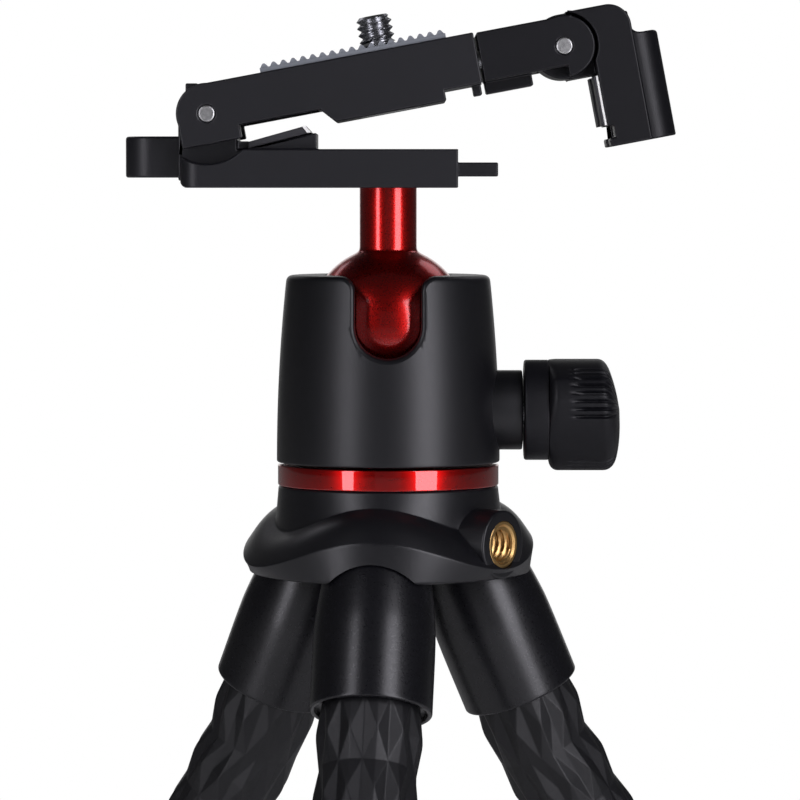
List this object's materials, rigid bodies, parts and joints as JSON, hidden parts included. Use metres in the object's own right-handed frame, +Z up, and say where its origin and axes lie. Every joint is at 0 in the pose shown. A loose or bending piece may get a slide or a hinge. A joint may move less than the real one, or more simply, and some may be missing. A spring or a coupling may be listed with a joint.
{
  "type": "flexible leg tripod",
  "caption": "Table-top tripod with bendable faceted rubber legs, a scalloped crown, a ball head with lock knob and pan ring, and a folding clamp for a phone or camera.",
  "frame": {"origin": "on the ground under the pan axis, at the level of the three soles", "axes": "+Z up along the pan axis, -Y to the side with the drop notch, +X to the side with the lock knob"},
  "size_m": [0.209, 0.1943, 0.2664],
  "materials": {
    "moulded_black": "moulded, satin",
    "leg_skin": "moulded diamond facets, matt",
    "foot_rubber": "moulded, matt",
    "core_metal": "drawn, soft",
    "insert_brass": "turned, threaded",
    "anodised_red": "turned, red anodised",
    "cast_black": "cast, satin black coat",
    "anodised_black": "milled, black anodised",
    "knob_rubber": "moulded, ribbed",
    "pad_grey": "moulded ridges, grey",
    "pad_dark": "moulded, dark grey",
    "acetal": "turned",
    "vial_green": "clear acrylic with tinted fluid",
    "steel": "turned, plated"
  },
  "bodies": {
    "crown": {"crown": "moulded_black", "thread_insert": "insert_brass", "pan_ring": "anodised_red", "pan_bolt": "steel", "pan_retainer": "steel", "leg_screws": "steel", "core_roots": "core_metal", "cap_front": "moulded_black", "cap_right": "moulded_black", "cap_left": "moulded_black", "bend_front_1": "leg_skin", "bend_right_1": "leg_skin", "bend_left_1": "leg_skin"},
    "leg_front_1": {"skin_front_1": "leg_skin", "core_front_1": "core_metal", "bend_front_2": "leg_skin"},
    "leg_front_2": {"skin_front_2": "leg_skin", "core_front_2": "core_metal", "bend_front_3": "leg_skin"},
    "leg_front_3": {"skin_front_3": "leg_skin", "core_front_3": "core_metal", "foot_front": "foot_rubber"},
    "leg_right_1": {"skin_right_1": "leg_skin", "core_right_1": "core_metal", "bend_right_2": "leg_skin"},
    "leg_right_2": {"skin_right_2": "leg_skin", "core_right_2": "core_metal", "bend_right_3": "leg_skin"},
    "leg_right_3": {"skin_right_3": "leg_skin", "core_right_3": "core_metal", "foot_right": "foot_rubber"},
    "leg_left_1": {"skin_left_1": "leg_skin", "core_left_1": "core_metal", "bend_left_2": "leg_skin"},
    "leg_left_2": {"skin_left_2": "leg_skin", "core_left_2": "core_metal", "bend_left_3": "leg_skin"},
    "leg_left_3": {"skin_left_3": "leg_skin", "core_left_3": "core_metal", "foot_left": "foot_rubber"},
    "head": {"housing": "cast_black", "ball_seat": "acetal", "plunger": "insert_brass"},
    "knob": {"knob": "knob_rubber", "clamp_stud": "steel"},
    "ball": {"ball_stem": "anodised_red", "base_screw": "steel"},
    "base": {"clamp_base": "anodised_black", "rest_pad": "pad_dark", "level_vial": "vial_green", "arm_pin": "steel"},
    "arm": {"arm_body": "anodised_black", "arm_pad": "pad_grey", "slider_springs": "steel"},
    "screw": {"camera_screw": "steel"},
    "slider": {"slider": "anodised_black", "guide_rods": "steel", "claw_pin": "steel"},
    "claw": {"claw": "anodised_black", "claw_pads": "pad_dark"}
  },
  "joints": [
    {"name": "front_root_bend", "type": "hinge", "parent": "crown", "child": "leg_front_1", "pos_m": [-0.00347, -0.03049, 0.13327], "axis": [-0.9936, 0.1132, 0], "range_deg": [-30, 50], "deforming": ["bend_front_1"]},
    {"name": "front_side_bend", "type": "hinge", "parent": "leg_front_1", "child": "leg_front_2", "pos_m": [-0.00671, -0.05892, 0.08747], "axis": [-0.096, -0.8426, 0.5299], "range_deg": [-45, 45], "deforming": ["bend_front_2"]},
    {"name": "front_knee_bend", "type": "hinge", "parent": "leg_front_2", "child": "leg_front_3", "pos_m": [-0.00959, -0.08419, 0.04677], "axis": [-0.9936, 0.1132, 0], "range_deg": [-45, 50], "deforming": ["bend_front_3"]},
    {"name": "right_root_bend", "type": "hinge", "parent": "crown", "child": "leg_right_1", "pos_m": [0.02814, 0.01223, 0.13327], "axis": [0.3987, -0.9171, 0], "range_deg": [-30, 50], "deforming": ["bend_right_1"]},
    {"name": "right_side_bend", "type": "hinge", "parent": "leg_right_1", "child": "leg_right_2", "pos_m": [0.05438, 0.02365, 0.08747], "axis": [0.7777, 0.3382, 0.5299], "range_deg": [-45, 45], "deforming": ["bend_right_2"]},
    {"name": "right_knee_bend", "type": "hinge", "parent": "leg_right_2", "child": "leg_right_3", "pos_m": [0.07771, 0.03379, 0.04677], "axis": [0.3987, -0.9171, 0], "range_deg": [-45, 50], "deforming": ["bend_right_3"]},
    {"name": "left_root_bend", "type": "hinge", "parent": "crown", "child": "leg_left_1", "pos_m": [-0.02466, 0.01825, 0.13327], "axis": [0.5948, 0.8039, 0], "range_deg": [-30, 50], "deforming": ["bend_left_1"]},
    {"name": "left_side_bend", "type": "hinge", "parent": "leg_left_1", "child": "leg_left_2", "pos_m": [-0.04767, 0.03527, 0.08747], "axis": [-0.6817, 0.5044, 0.5299], "range_deg": [-45, 45], "deforming": ["bend_left_2"]},
    {"name": "left_knee_bend", "type": "hinge", "parent": "leg_left_2", "child": "leg_left_3", "pos_m": [-0.06811, 0.0504, 0.04677], "axis": [0.5948, 0.8039, 0], "range_deg": [-45, 50], "deforming": ["bend_left_3"]},
    {"name": "pan", "type": "hinge", "parent": "crown", "child": "head", "pos_m": [0, 0, 0.16553], "axis": [0, 0, 1], "continuous": true},
    {"name": "knob_turn", "type": "hinge", "parent": "head", "child": "knob", "pos_m": [0.025, 0, 0.19464], "axis": [1, 0, 0], "range_deg": [0, 360]},
    {"name": "ball_tilt", "type": "hinge", "parent": "head", "child": "ball", "pos_m": [0, 0, 0.20963], "axis": [1, 0, 0], "range_deg": [-23, 88]},
    {"name": "ball_spin", "type": "hinge", "parent": "ball", "child": "base", "pos_m": [0, 0, 0.23423], "axis": [0, 0, 1], "continuous": true},
    {"name": "arm_fold", "type": "hinge", "parent": "base", "child": "arm", "pos_m": [-0.0318, 0, 0.24724], "axis": [0, -1, 0], "range_deg": [-10.7, 90]},
    {"name": "camera_screw_turn", "type": "hinge", "parent": "arm", "child": "screw", "pos_m": [-0.00055, 0, 0.25314], "axis": [-0.1857, 0, 0.9826], "continuous": true},
    {"name": "slider_slide", "type": "slide", "parent": "arm", "child": "slider", "axis": [0.9826, 0, 0.1857], "range_m": [0, 0.016], "stiffness_N_per_m": 250, "springref_m": -0.008, "deforming": ["slider_springs"]},
    {"name": "claw_fold", "type": "hinge", "parent": "slider", "child": "claw", "pos_m": [0.03089, 0, 0.25908], "axis": [0, 1, 0], "range_deg": [0, 72]}
  ]
}
